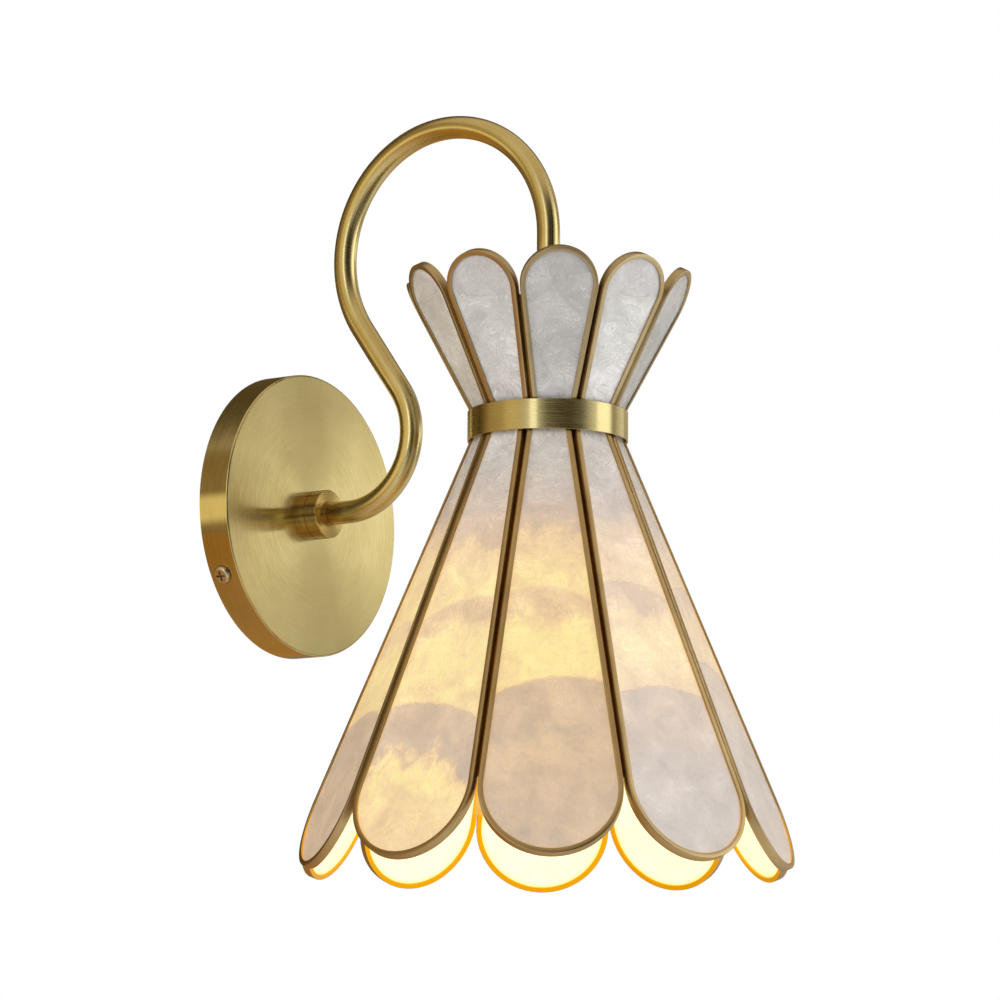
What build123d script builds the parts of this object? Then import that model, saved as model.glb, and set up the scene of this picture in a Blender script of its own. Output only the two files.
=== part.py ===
from build123d import *
import os
from math import atan, atan2, cos, degrees, radians, sin, sqrt, tan

# A wall light with a fluted shade of shell panels.  A round canopy hides the wall bracket, a bent
# brass tube rises from it in a loop, and the shade hangs from the far end of the tube.  The shade is
# two rings of brass-framed shell petals, a long skirt below and a short crown above, joined in a waist.
#
# Frame: millimetres, +Z up, the wall is the plane Y = 0 and the light projects towards -Y.
# The origin is on the wall, in the middle of the canopy.

# ---- canopy and wall bracket ----
canopy_diameter = 125.0
canopy_depth = 14.9
canopy_wall = 1.8
canopy_edge_round = 0.8
bracket_thickness = 1.6
bracket_margin = 4.7            # from the bracket's edge to the inside of the canopy
bracket_cable_hole = 28.0
slot_spacing = 83.0             # between the centres of the two wall slots
slot_width = 5.0
slot_length = 14.0
ear_width = 14.0
ear_gap = 0.1                   # from an ear's corners to the inside of the canopy
ear_top_gap = 0.6               # from an ear's end to the inside of the canopy's face

# ---- the three equal screws: two through the canopy's rim, one for the earth wire ----
screw_tilt = 31.0               # the rim screws' line, degrees below level on the left
screw_turns = (0, 180)          # degrees round the canopy, of the two rim screws
screw_line_depth = 6.5          # from the wall to the rim screws' line
screw_diameter = 4.0
screw_length = 8.0
screw_head_diameter = 8.0
screw_head_height = 2.6
screw_head_round = 1.3
screw_cross_width = 1.0
screw_cross_length = 4.4
screw_cross_depth = 1.4
screw_cross_taper = 12.0        # degrees
screw_tip_chamfer = 0.5
screw_hole_gap = 0.25           # round the screw in the canopy's rim
screw_thread_gap = 0.03         # round the screw in its threaded hole
spot_face_gap = 0.4             # round the screw's head
spot_face_depth = 0.6
earth_tab_height = 31.0         # above the origin, where the earth screw's head sits
earth_tab_width = 10.0
earth_tab_top_gap = 1.5         # from the tab's end to the inside of the canopy's face

# ---- terminal block ----
terminal_width = 17.0
terminal_height = 14.0
terminal_depth = 8.0
terminal_drop = 24.0            # from the origin down to its top
terminal_pole_spacing = 8.0
terminal_bore = 2.8
terminal_screw_hole = 3.4
terminal_screw_hole_depth = 4.5
terminal_edge_round = 0.5
terminal_gap = 0.05

# ---- collar, nipple and locknut, on the canopy's axis ----
collar_diameter = 21.4
collar_length = 9.0
collar_groove_place = 2.5       # from the canopy to the groove
collar_groove_width = 0.5
collar_groove_depth = 0.45
collar_edge_round = 0.5
neck_diameter = 10.9
neck_length = 1.4
nipple_diameter = 9.9
nipple_wall = 1.6
nipple_hole_gap = 0.2           # round the nipple in the canopy and the waist plate
thread_gap = 0.03               # round a thread in its threaded hole
nut_across_flats = 14.0
nut_thickness = 3.0
washer_diameter = 15.5
washer_thickness = 0.8
nipple_end_past_nut = 0.7
tube_seat_depth = 6.0           # of the tube in the collar

# ---- bent arm ----
tube_diameter = 10.0
tube_wall = 1.0
tube_seat_gap = 0.02
reach = 138.6                   # from the wall to the axis of the shade
low_bend_start = 34.5           # from the wall to where the tube starts to rise
high_bend_radius = 53.9
high_bend_height = 112.4        # of the loop's centre above the origin
rise_length = 36.14             # of the straight stretch between the two bends

# ---- lamp lead inside the arm ----
lead_diameter = 4.2
lead_bend_radius = 4.4
lead_end_gap = 0.05

# ---- waist ----
waist_band_diameter = 68.6
waist_band_thickness = 0.8
waist_band_height = 12.8
waist_band_bottom = 21.2        # above the origin
waist_band_edge_round = 0.2
band_gap = 0.08                 # from the petals' corners to the inside of the band
waist_plate_thickness = 2.0
root_gap = 0.4                  # between the two rings of petals, inside the band
plate_gap = 0.05                # from the waist plate to the petals' roots

# ---- petals ----
petal_count = 10
frame_depth = 3.7
frame_face = 2.2                # width of the brass that shows round a panel
frame_lip = 0.75                # brass in front of a panel
frame_grip = 1.0                # width of the panel's edge that the frame's channel hides
frame_side_gap = 0.1            # from a frame to the plane between it and the next one
panel_thickness = 2.1
panel_gap = 0.05
skirt_slope = 21.7              # degrees from upright
skirt_length = 197.3            # along the slope, from the band's edge to the tip
skirt_turn = -55.7              # heading of the first petal, degrees from the front
crown_slope = 26.9              # degrees from upright
crown_length = 66.0             # along the slope, from the band's edge to the tip
crown_turn = -51.9              # heading of the first petal, degrees from the front
seam_width = 1.9                # of solder on each of the two frames it joins
seam_gap = 0.02
seam_margin = 3.0               # from a seam's ends to the ends of the touching edges

# ---- arm end, lampholder ----
coupling_diameter = 16.0
coupling_height = 14.0
coupling_seat_depth = 8.0
coupling_edge_round = 0.8
spigot_length = 5.0             # of the coupling's thread, below the waist plate
holder_cap_diameter = 38.0
holder_cap_height = 22.0
holder_cap_wall = 1.0
holder_cap_top = 2.0
holder_cap_edge_round = 2.0
holder_body_gap = 0.1           # inside the cap
holder_body_bottom = -21.0      # above the origin
holder_body_round = 1.2
holder_shell_thickness = 0.4
holder_shell_recess = 1.5       # from the body's mouth up to the screw shell
holder_shell_gap = 0.05
holder_shell_flange = 3.5
holder_floor_gap = 2.0          # from the bulb's contact to the body's floor
holder_tongue_width = 6.0
holder_tongue_thickness = 0.5
holder_tongue_length = 14.0
holder_tongue_gap = 0.05

# ---- screw-base bulb ----
bulb_contact_top = 4.0          # above the origin
bulb_cap_diameter = 26.2
bulb_cap_wall = 0.5
bulb_cap_length = 22.0
bulb_thread_pitch = 3.629
bulb_thread_depth = 0.7
bulb_thread_turns = 5
bulb_thread_start = 3.0         # from the cap's top to the first groove
bulb_thread_gap = 0.25          # from the bulb's cap to the screw shell
bulb_insulator_height = 2.6
bulb_insulator_gap = 0.05
bulb_contact_diameter = 9.0
bulb_contact_height = 1.4
bulb_glass_diameter = 60.0
bulb_glass_wall = 1.0
bulb_glass_drop = 79.0          # from the contact to the middle of the globe
bulb_neck_diameter = 25.0
bulb_neck_bend = 40.0
bulb_neck_overlap = 3.0         # of the neck, inside the cap
bulb_neck_gap = 0.05

# ---- worked out from the sizes above ----
canopy_radius = canopy_diameter / 2
canopy_inner_radius = canopy_radius - canopy_wall
canopy_inner_face = -(canopy_depth - canopy_wall)
ear_face = sqrt((canopy_inner_radius - ear_gap) ** 2 - (ear_width / 2) ** 2)
screw_seat = canopy_radius - spot_face_depth
nipple_bore = nipple_diameter / 2 - nipple_wall
washer_back = canopy_inner_face + washer_thickness
nut_back = washer_back + nut_thickness
nipple_back = nut_back + nipple_end_past_nut
collar_front = -(canopy_depth + collar_length)
tube_start = collar_front + tube_seat_depth

petal_pitch = 360 / petal_count
half_pitch_tangent = tan(radians(petal_pitch / 2))
band_inner_radius = waist_band_diameter / 2 - waist_band_thickness
waist_band_top = waist_band_bottom + waist_band_height
waist_middle = waist_band_bottom + waist_band_height / 2
plate_top = waist_middle + waist_plate_thickness / 2
plate_bottom = waist_middle - waist_plate_thickness / 2
coupling_top = plate_top + coupling_height
tube_end = coupling_top - coupling_seat_depth
spigot_bottom = plate_bottom - spigot_length
cap_inner_top = plate_bottom - holder_cap_top
cap_inner_radius = holder_cap_diameter / 2 - holder_cap_wall
body_top = spigot_bottom - lead_end_gap
holder_floor = bulb_contact_top + holder_floor_gap
bulb_cap_radius = bulb_cap_diameter / 2
shell_inner_radius = bulb_cap_radius + bulb_thread_gap
shell_outer_radius = shell_inner_radius + holder_shell_thickness
bulb_cap_top = bulb_contact_top - bulb_contact_height - bulb_insulator_height
bulb_cap_bottom = bulb_cap_top - bulb_cap_length
on_shade_axis = Pos(0, -reach, 0)


def write(name, *solids):
    """Write the solids of one sub-part to its own file."""
    shape = solids[0] if len(solids) == 1 else Compound(list(solids))
    export_step(shape, f"parts/{name}.step")


def along_wall_normal(y, face):
    """Put a flat face in the plane Y = y, ready to extrude towards +Y; its own +Y points down."""
    return Plane(origin=(0, y, 0), x_dir=(1, 0, 0), z_dir=(0, 1, 0)) * face


def turned(outline, axis):
    """Turn a closed outline of (radius, height) points about an axis into a solid."""
    return revolve(make_face(Polyline(*outline, close=True)), axis)


def upright_turning(points):
    """A turned piece on the Z axis, from (radius, z) points."""
    outline = [(radius, 0, z) for radius, z in points]
    return turned(outline, Axis.Z)


def wall_turning(points):
    """A turned piece on the Y axis, from (radius, y) points."""
    return turned(points, Axis.Y)


def at_rim(turn):
    """The place of a rim screw, turned 0 or 180 degrees round the canopy: +Z points out of the rim."""
    return Rot(0, turn - screw_tilt, 0) * Pos(0, -screw_line_depth, 0) * Rot(0, 90, 0)


def on_earth_tab():
    """The place of the earth screw, upright on the bracket's earth tab."""
    return Pos(0, -screw_line_depth, earth_tab_height)


# ---------------------------------------------------------------- canopy and what is behind it
def canopy():
    """A spun brass cup with its mouth on the wall, a centre hole and two spot-faced screw holes."""
    cup = wall_turning([
        (0, -canopy_depth),
        (canopy_radius, -canopy_depth),
        (canopy_radius, 0),
        (canopy_inner_radius, 0),
        (canopy_inner_radius, canopy_inner_face),
        (0, canopy_inner_face),
    ])
    front_edges = cup.edges().filter_by(GeomType.CIRCLE).group_by(Axis.Y)[0]
    cup = fillet(front_edges, canopy_edge_round)
    hole = along_wall_normal(-canopy_depth, Circle(nipple_diameter / 2 + nipple_hole_gap))
    cup -= extrude(hole, canopy_depth)
    for turn in screw_turns:
        spot_face = extrude(Circle(screw_head_diameter / 2 + spot_face_gap), canopy_wall)
        screw_hole = extrude(Circle(screw_diameter / 2 + screw_hole_gap), canopy_radius)
        cup -= at_rim(turn) * (Pos(0, 0, screw_seat) * spot_face + screw_hole)
    return cup


def bracket_ear():
    """A tab bent forward from the bracket's +X edge, with the threaded hole for a rim screw."""
    start = canopy_inner_radius - bracket_margin - bracket_thickness
    end = canopy_inner_face + ear_top_gap
    back = ear_face - bracket_thickness
    outline = Polyline(
        (start, 0),
        (ear_face, 0),
        (ear_face, end),
        (back, end),
        (back, -bracket_thickness),
        (start, -bracket_thickness),
        close=True,
    )
    ear = extrude(make_face(outline), ear_width / 2, both=True)
    outer_bend = ear.edges().filter_by(Axis.Z).sort_by_distance((ear_face, 0, 0))[0]
    hole = Cylinder(screw_diameter / 2 + screw_thread_gap, 2 * canopy_radius, rotation=(0, 90, 0))
    return fillet(outer_bend, bracket_thickness) - Pos(0, -screw_line_depth, 0) * hole


def wall_bracket():
    """A stamped steel disc with two wall slots, a cable hole and two bent ears."""
    disc = extrude(along_wall_normal(-bracket_thickness, Circle(canopy_inner_radius - bracket_margin)),
                   bracket_thickness)
    slots = Pos(slot_spacing / 2, 0) * SlotOverall(slot_length, slot_width)
    slots += Pos(-slot_spacing / 2, 0) * SlotOverall(slot_length, slot_width)
    openings = along_wall_normal(-bracket_thickness, slots + Circle(bracket_cable_hole / 2))
    disc -= extrude(openings, bracket_thickness)
    tab_reach = -canopy_inner_face - earth_tab_top_gap
    tab = Box(earth_tab_width, tab_reach, bracket_thickness, align=(Align.CENTER, Align.MAX, Align.MAX))
    tab_hole = Pos(0, -screw_line_depth) * Cylinder(screw_diameter / 2 + screw_thread_gap, screw_length)
    tab = Pos(0, 0, earth_tab_height) * (tab - tab_hole)
    ear = bracket_ear()
    for turn in screw_turns:
        disc += Rot(0, turn - screw_tilt, 0) * ear
    return disc + tab


def pan_head_screw():
    """A cross-recessed pan head screw; its head sits on Z = 0 and points up."""
    head = extrude(Circle(screw_head_diameter / 2), screw_head_height)
    head = fillet(head.edges().group_by(Axis.Z)[-1], screw_head_round)
    slot = Rectangle(screw_cross_length, screw_cross_width)
    cross = slot + Rot(0, 0, 90) * slot
    recess = extrude(Pos(0, 0, screw_head_height) * cross, -screw_cross_depth, taper=screw_cross_taper)
    shank = Pos(0, 0, -screw_length) * extrude(Circle(screw_diameter / 2), screw_length)
    shank = chamfer(shank.edges().group_by(Axis.Z)[0], screw_tip_chamfer)
    return head + shank - recess


def terminal_block():
    """A two-pole terminal block on the bracket, with wire holes below and screw holes in front."""
    front = -bracket_thickness - terminal_gap - terminal_depth
    middle_drop = terminal_drop + terminal_height / 2
    middle_y = front + terminal_depth / 2
    block = Pos(0, middle_y, -middle_drop) * Box(terminal_width, terminal_depth, terminal_height)
    block = fillet(block.edges().filter_by(Axis.Z), terminal_edge_round)
    for side in (1, -1):
        pole = side * terminal_pole_spacing / 2
        screw_hole = Pos(pole, middle_drop) * Circle(terminal_screw_hole / 2)
        block -= extrude(along_wall_normal(front, screw_hole), terminal_screw_hole_depth)
        wire_hole = Pos(pole, middle_y, -terminal_drop - terminal_height) * Circle(terminal_bore / 2)
        block -= extrude(wire_hole, terminal_height / 2)
    return block


def arm_collar():
    """The turned collar on the canopy: a ring, a groove, the main barrel and a neck round the tube."""
    radius = collar_diameter / 2
    groove_start = -canopy_depth - collar_groove_place
    groove_end = groove_start - collar_groove_width
    thread_radius = nipple_diameter / 2 + thread_gap
    seat_radius = tube_diameter / 2 + tube_seat_gap
    collar = wall_turning([
        (thread_radius, -canopy_depth),
        (radius, -canopy_depth),
        (radius, groove_start),
        (radius - collar_groove_depth, groove_start),
        (radius - collar_groove_depth, groove_end),
        (radius, groove_end),
        (radius, collar_front),
        (neck_diameter / 2, collar_front),
        (neck_diameter / 2, collar_front - neck_length),
        (seat_radius, collar_front - neck_length),
        (seat_radius, tube_start),
        (thread_radius, tube_start),
    ])
    rims = collar.edges().filter_by(GeomType.CIRCLE)
    barrel_rims = rims.filter_by(lambda rim: abs(rim.radius - radius) < collar_groove_depth / 2)
    return fillet(barrel_rims.group_by(Axis.Y)[0], collar_edge_round)


def arm_nipple():
    """The threaded tube that holds the collar to the canopy; its thread is drawn plain."""
    barrel = extrude(along_wall_normal(tube_start, Circle(nipple_diameter / 2)), nipple_back - tube_start)
    bore = extrude(along_wall_normal(tube_start, Circle(nipple_bore)), nipple_back - tube_start)
    return barrel - bore


def arm_locknut():
    """The washer and the hexagon nut on the nipple, inside the canopy."""
    hole = Circle(nipple_diameter / 2 + thread_gap)
    ring = Circle(washer_diameter / 2) - hole
    washer = extrude(along_wall_normal(canopy_inner_face, ring), washer_thickness)
    hexagon = RegularPolygon(nut_across_flats / 2, 6, major_radius=False)
    nut = extrude(along_wall_normal(washer_back, hexagon - hole), nut_thickness)
    return washer, nut


# ---------------------------------------------------------------- arm and the lead inside it
def arm_rise():
    """The low bend's radius, which leaves the straight stretch its length, and that stretch's heading."""
    run = low_bend_start + high_bend_radius - reach
    height = high_bend_height
    low_bend_radius = (run ** 2 + height ** 2 - rise_length ** 2 - high_bend_radius ** 2) / (
        2 * (height + high_bend_radius))
    between_centres = degrees(atan2(height - low_bend_radius, run))
    heading = between_centres - degrees(atan2(low_bend_radius + high_bend_radius, rise_length))
    return low_bend_radius, heading


def arm_line(first, lowest_end):
    """The arm's centre line in the plane X = 0, after a curve that ends level with the canopy's axis."""
    low_bend_radius, heading = arm_rise()
    direction = Vector(cos(radians(heading)), sin(radians(heading)))
    lead_in = Line(first @ 1, (-low_bend_start, 0))
    low_bend = JernArc(lead_in @ 1, (-1, 0), low_bend_radius, heading - 180)
    rise = Line(low_bend @ 1, low_bend @ 1 + direction * rise_length)
    high_bend = JernArc(rise @ 1, direction, high_bend_radius, 270 - heading)
    drop = Line(high_bend @ 1, (-reach, lowest_end))
    return [lead_in, low_bend, rise, high_bend, drop]


def swept(radius, pieces):
    """A round bar along a centre line that is drawn in the plane X = 0."""
    path = Wire([Plane.YZ * piece.edge() for piece in pieces])
    section = Plane(origin=path @ 0, z_dir=path % 0) * Circle(radius)
    return sweep(section, path=path)


def arm_tube():
    """The bent brass tube, from the collar to the coupling in the shade."""
    start = Line((tube_start + tube_seat_depth, 0), (tube_start, 0))
    pieces = arm_line(start, tube_end)
    return swept(tube_diameter / 2, pieces) - swept(tube_diameter / 2 - tube_wall, pieces)


def lamp_lead():
    """The round two-core lead, from the terminal block through the arm to the lampholder."""
    back = nipple_back + lead_bend_radius
    rise = Line((back, -terminal_drop + lead_end_gap), (back, -lead_bend_radius))
    bend = JernArc(rise @ 1, (0, 1), lead_bend_radius, 90)
    return swept(lead_diameter / 2, [rise, bend] + arm_line(bend, spigot_bottom))


# ---------------------------------------------------------------- petals
class Petal:
    """The sizes of one ring's petals, drawn on the outer face of the first one.

    On that face u runs across and v along the slope, away from the waist; depth goes into the shade.
    """

    def __init__(self, slope, length, edge_height, upward):
        self.slope = radians(slope)
        self.length = length
        self.upward = upward
        self.edge_height = edge_height
        corner = band_inner_radius - band_gap
        self.apothem = self.apothem_for_corner(corner)
        self.half_root = self.back_apothem() * half_pitch_tangent - frame_side_gap
        self.side_tangent = sin(self.slope) * half_pitch_tangent
        self.root = -(abs(waist_middle - edge_height) - root_gap / 2) / cos(self.slope)
        side = atan(self.side_tangent)
        self.tip_radius = (self.half_root + self.side_tangent * length) * cos(side) / (1 + sin(side))
        self.tip_centre = length - self.tip_radius
        self.side = side

    def apothem_for_corner(self, corner):
        """The face's distance from the axis at the band's edge, with the face's corners at a radius."""
        inset = frame_depth * cos(self.slope) * half_pitch_tangent + frame_side_gap
        square = 1 + half_pitch_tangent ** 2
        half_linear = half_pitch_tangent * inset
        return (half_linear + sqrt(half_linear ** 2 - square * (inset ** 2 - corner ** 2))) / square

    def back_apothem(self):
        """The distance of the frame's back from the axis at the band's edge."""
        return self.apothem - frame_depth * cos(self.slope)

    def root_apothem(self):
        """The distance of the face from the axis at the petal's root."""
        return self.apothem + self.root * sin(self.slope)

    def plane(self):
        """The plane of the face: X is u, Y is v and Z goes into the shade."""
        return Plane(
            origin=(0, -self.apothem, self.edge_height),
            x_dir=(-self.upward, 0, 0),
            z_dir=(0, cos(self.slope), self.upward * sin(self.slope)),
        )

    def outline(self, inset):
        """The petal's round-ended outline, a distance inside its edge."""
        root = self.root + inset
        root_half = self.half_root + self.side_tangent * root - inset / cos(self.side)
        radius = self.tip_radius - inset
        tangent_half = radius * cos(self.side)
        tangent_v = self.tip_centre - radius * sin(self.side)
        left = (-tangent_half, tangent_v)
        right = (tangent_half, tangent_v)
        sides = Polyline(left, (-root_half, root), (root_half, root), right)
        tip = ThreePointArc(right, (0, self.tip_centre + radius), left)
        return make_face(sides + tip)

    def frame(self):
        """The brass channel round the panel."""
        channel_width = panel_thickness + 2 * panel_gap
        ring = extrude(self.outline(0) - self.outline(frame_face), frame_depth)
        channel = Pos(0, 0, frame_lip) * extrude(self.outline(frame_face - frame_grip), channel_width)
        return self.plane() * (ring - channel)

    def panel(self):
        """The shell panel, with its edge in the frame's channel."""
        face = self.outline(frame_face - frame_grip + panel_gap)
        return self.plane() * (Pos(0, 0, frame_lip + panel_gap) * extrude(face, panel_thickness))

    def seam(self):
        """The solder along the inside corner between this petal and the next one."""
        first = self.root + seam_margin
        last = self.tip_centre - self.tip_radius * sin(self.side) - seam_margin
        depth = frame_depth + seam_gap
        corner_half = (self.apothem - depth * cos(self.slope)) * half_pitch_tangent
        flank_half = corner_half - seam_width
        plane = self.plane()
        corner = plane.from_local_coords((corner_half + self.side_tangent * first, first, depth))
        end = plane.from_local_coords((corner_half + self.side_tangent * last, last, depth))
        flank = plane.from_local_coords((flank_half + self.side_tangent * first, first, depth))
        far_side = plane.from_local_coords((-flank_half - self.side_tangent * first, first, depth))
        other_flank = far_side.rotate(Axis.Z, -self.upward * petal_pitch)
        triangle = make_face(Polyline(corner, flank, other_flank, close=True))
        return Solid.extrude(triangle.face(), end - corner)


def on_ring(turn, number):
    """The place of a ring's petal: turned about the shade's axis."""
    return on_shade_axis * Rot(0, 0, turn + number * petal_pitch)


def write_ring(name, petal, turn):
    """Write a ring's frames and panels, and return the solder between its frames."""
    frame = petal.frame()
    panel = petal.panel()
    for number in range(petal_count):
        place = on_ring(turn, number)
        write(f"{name}_frame_{number + 1:02d}", place * frame)
        write(f"{name}_shell_{number + 1:02d}", place * panel)
    seam = petal.seam()
    return [on_ring(turn, number) * seam for number in range(petal_count)]


# ---------------------------------------------------------------- waist and lampholder
def waist_band():
    """The plain brass band round the waist."""
    outer = waist_band_diameter / 2
    band = upright_turning([
        (band_inner_radius, waist_band_bottom),
        (outer, waist_band_bottom),
        (outer, waist_band_top),
        (band_inner_radius, waist_band_top),
    ])
    return on_shade_axis * fillet(band.edges().filter_by(GeomType.CIRCLE), waist_band_edge_round)


def waist_plate(skirt, crown):
    """The round plate in the waist; its rim lies between the roots of the two rings."""
    half_step = waist_plate_thickness / 2 + plate_gap - root_gap / 2
    radius = min(petal.root_apothem() - half_step / tan(petal.slope) for petal in (skirt, crown))
    disc = Circle(radius) - Circle(nipple_diameter / 2 + nipple_hole_gap)
    return on_shade_axis * (Pos(0, 0, plate_bottom) * extrude(disc, waist_plate_thickness))


def arm_coupling():
    """The turned piece at the end of the arm, with a threaded spigot down through the waist plate."""
    radius = coupling_diameter / 2
    seat_radius = tube_diameter / 2 + tube_seat_gap
    coupling = upright_turning([
        (nipple_bore, spigot_bottom),
        (nipple_diameter / 2, spigot_bottom),
        (nipple_diameter / 2, plate_top),
        (radius, plate_top),
        (radius, coupling_top),
        (seat_radius, coupling_top),
        (seat_radius, tube_end),
        (nipple_bore, tube_end),
    ])
    rims = coupling.edges().filter_by(GeomType.CIRCLE)
    top_rim = rims.group_by(Axis.Z)[-1].sort_by(SortBy.RADIUS)[-1]
    return on_shade_axis * fillet(top_rim, coupling_edge_round)


def holder_cap():
    """The brass cup over the lampholder, screwed on the coupling's spigot under the waist plate."""
    radius = holder_cap_diameter / 2
    mouth = plate_bottom - holder_cap_height
    cap = upright_turning([
        (nipple_diameter / 2 + thread_gap, plate_bottom),
        (radius, plate_bottom),
        (radius, mouth),
        (cap_inner_radius, mouth),
        (cap_inner_radius, cap_inner_top),
        (nipple_diameter / 2 + thread_gap, cap_inner_top),
    ])
    rims = cap.edges().filter_by(GeomType.CIRCLE)
    shoulder = rims.group_by(Axis.Z)[-1].sort_by(SortBy.RADIUS)[-1]
    return on_shade_axis * fillet(shoulder, holder_cap_edge_round)


def holder_body():
    """The porcelain body, with a well for the screw shell and the bulb's cap."""
    radius = cap_inner_radius - holder_body_gap
    body = upright_turning([
        (0, body_top),
        (radius, body_top),
        (radius, holder_body_bottom),
        (shell_outer_radius + holder_shell_gap, holder_body_bottom),
        (shell_outer_radius + holder_shell_gap, holder_floor),
        (0, holder_floor),
    ])
    rims = body.edges().filter_by(GeomType.CIRCLE)
    mouth = rims.group_by(Axis.Z)[0].sort_by(SortBy.RADIUS)[-1]
    return on_shade_axis * fillet(mouth, holder_body_round)


def holder_shell():
    """The brass screw shell in the body's well; its thread is drawn plain."""
    mouth = holder_body_bottom + holder_shell_recess
    top = holder_floor - holder_shell_gap
    return on_shade_axis * upright_turning([
        (shell_inner_radius, mouth),
        (shell_outer_radius, mouth),
        (shell_outer_radius, top),
        (shell_outer_radius - holder_shell_flange, top),
        (shell_outer_radius - holder_shell_flange, top - holder_shell_thickness),
        (shell_inner_radius, top - holder_shell_thickness),
    ])


def holder_contact():
    """The sprung brass tongue that presses on the bulb's contact."""
    top = holder_floor - holder_tongue_gap
    bottom = bulb_contact_top + holder_tongue_gap
    half = holder_tongue_length / 2
    tip = bulb_contact_diameter / 4
    profile = Polyline(
        (-half, 0, top),
        (-tip, 0, top),
        (tip, 0, bottom + holder_tongue_thickness),
        (half, 0, bottom + holder_tongue_thickness),
        (half, 0, bottom),
        (0, 0, bottom),
        (-tip, 0, top - holder_tongue_thickness),
        (-half, 0, top - holder_tongue_thickness),
        close=True,
    )
    return on_shade_axis * extrude(make_face(profile), holder_tongue_width / 2, both=True)


# ---------------------------------------------------------------- bulb
def bulb_profile(inset):
    """Half of the bulb's outline, a distance inside its surface, from the neck's top to its lowest point."""
    neck = bulb_neck_diameter / 2 - inset
    globe = bulb_glass_diameter / 2 - inset
    bend = bulb_neck_bend + inset
    globe_middle = bulb_contact_top - bulb_glass_drop
    bend_height = globe_middle + sqrt((bend + globe) ** 2 - (neck + bend) ** 2)
    touch = globe / (bend + globe)
    touch_point = ((neck + bend) * touch, 0, globe_middle + (bend_height - globe_middle) * touch)
    neck_top = (neck, 0, bulb_cap_bottom + bulb_neck_overlap)
    neck_line = Line(neck_top, (neck, 0, bend_height))
    bend_centre = Vector(neck + bend, 0, bend_height)
    touch_angle = atan2(bend_height - touch_point[2], neck + bend - touch_point[0]) / 2
    bend_middle = bend_centre - Vector(cos(touch_angle), 0, sin(touch_angle)) * bend
    neck_bend = ThreePointArc((neck, 0, bend_height), bend_middle, touch_point)
    side_point = (globe, 0, globe_middle)
    globe_arc = ThreePointArc(touch_point, side_point, (0, 0, globe_middle - globe))
    return [neck_line, neck_bend, globe_arc]


def bulb_glass():
    """The bulb's glass: a globe drawn out to a neck, of even thickness."""
    outside = bulb_profile(0)
    inside = bulb_profile(bulb_glass_wall)
    tip = Line(outside[-1] @ 1, inside[-1] @ 1)
    mouth = Line(inside[0] @ 0, outside[0] @ 0)
    outline = outside[0] + outside[1] + outside[2] + tip + inside[0] + inside[1] + inside[2] + mouth
    return on_shade_axis * revolve(make_face(outline), Axis.Z)


def bulb_cap():
    """The bulb's threaded metal cap; its rolled thread is drawn as rings."""
    wall_inside = bulb_cap_radius - bulb_thread_depth - bulb_cap_wall
    cap = upright_turning([
        (wall_inside, bulb_cap_bottom),
        (bulb_cap_radius, bulb_cap_bottom),
        (bulb_cap_radius, bulb_cap_top),
        (wall_inside, bulb_cap_top),
    ])
    for turn in range(bulb_thread_turns):
        middle = bulb_cap_top - bulb_thread_start - turn * bulb_thread_pitch
        ring = upright_turning([
            (bulb_cap_radius + bulb_thread_gap, middle + bulb_thread_pitch / 3),
            (bulb_cap_radius - bulb_thread_depth, middle),
            (bulb_cap_radius + bulb_thread_gap, middle - bulb_thread_pitch / 3),
        ])
        cap -= ring
    neck_seat = Cylinder(bulb_neck_diameter / 2 + bulb_neck_gap, 2 * bulb_neck_overlap)
    return on_shade_axis * (cap - Pos(0, 0, bulb_cap_bottom) * neck_seat)


def bulb_contact():
    """The insulator on top of the cap, and the contact in its middle."""
    cap_radius = bulb_cap_radius - bulb_thread_depth
    low = bulb_cap_top + bulb_insulator_gap
    high = bulb_cap_top + bulb_insulator_height
    insulator = upright_turning([
        (0, low),
        (cap_radius, low),
        (bulb_contact_diameter / 2, high),
        (0, high),
    ])
    button = Pos(0, 0, high) * extrude(Circle(bulb_contact_diameter / 2), bulb_contact_height)
    button = fillet(button.edges().group_by(Axis.Z)[-1], bulb_contact_height / 2)
    return on_shade_axis * (insulator + button)


# ---------------------------------------------------------------- the whole light
os.makedirs("parts", exist_ok=True)

write("canopy", canopy())
write("wall_bracket", wall_bracket())
screw = pan_head_screw()
rim_screws = [at_rim(turn) * (Pos(0, 0, screw_seat) * screw) for turn in screw_turns]
write("m4_screws", *rim_screws, on_earth_tab() * screw)
write("terminal_block", terminal_block())
write("arm_collar", arm_collar())
write("arm_nipple", arm_nipple())
write("arm_locknut", *arm_locknut())
write("arm_tube", arm_tube())
write("lamp_lead", lamp_lead())

skirt_petal = Petal(skirt_slope, skirt_length, waist_band_bottom, -1)
crown_petal = Petal(crown_slope, crown_length, waist_band_top, 1)
seams = write_ring("skirt", skirt_petal, skirt_turn)
seams += write_ring("crown", crown_petal, crown_turn)
write("solder_seams", *seams)
write("waist_band", waist_band())
write("waist_plate", waist_plate(skirt_petal, crown_petal))

write("arm_coupling", arm_coupling())
write("holder_cap", holder_cap())
write("holder_body", holder_body())
write("holder_shell", holder_shell())
write("holder_contact", holder_contact())
write("bulb_glass", bulb_glass())
write("bulb_cap", bulb_cap())
write("bulb_contact", bulb_contact())
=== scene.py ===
# %% [markdown]
# # A shell wall light, dressed for its portrait
#
# The fixed frame already holds every solid piece of this wall light at its real size, in metres: +Z is
# up, the wall is the plane Y = 0 and the light projects towards -Y.  This script gives each of them the
# finish of the real thing, and models afresh the pieces whose looks need softer edges or a surface
# that the finish can follow: the petals' brass frames, their shell panels and the bent tube.
#
# The order is the one a photographer would follow: load the frame, put up the camera, make the
# finishes, make the pieces, then light the set.

# %% Load the frame
import math
import random

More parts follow.
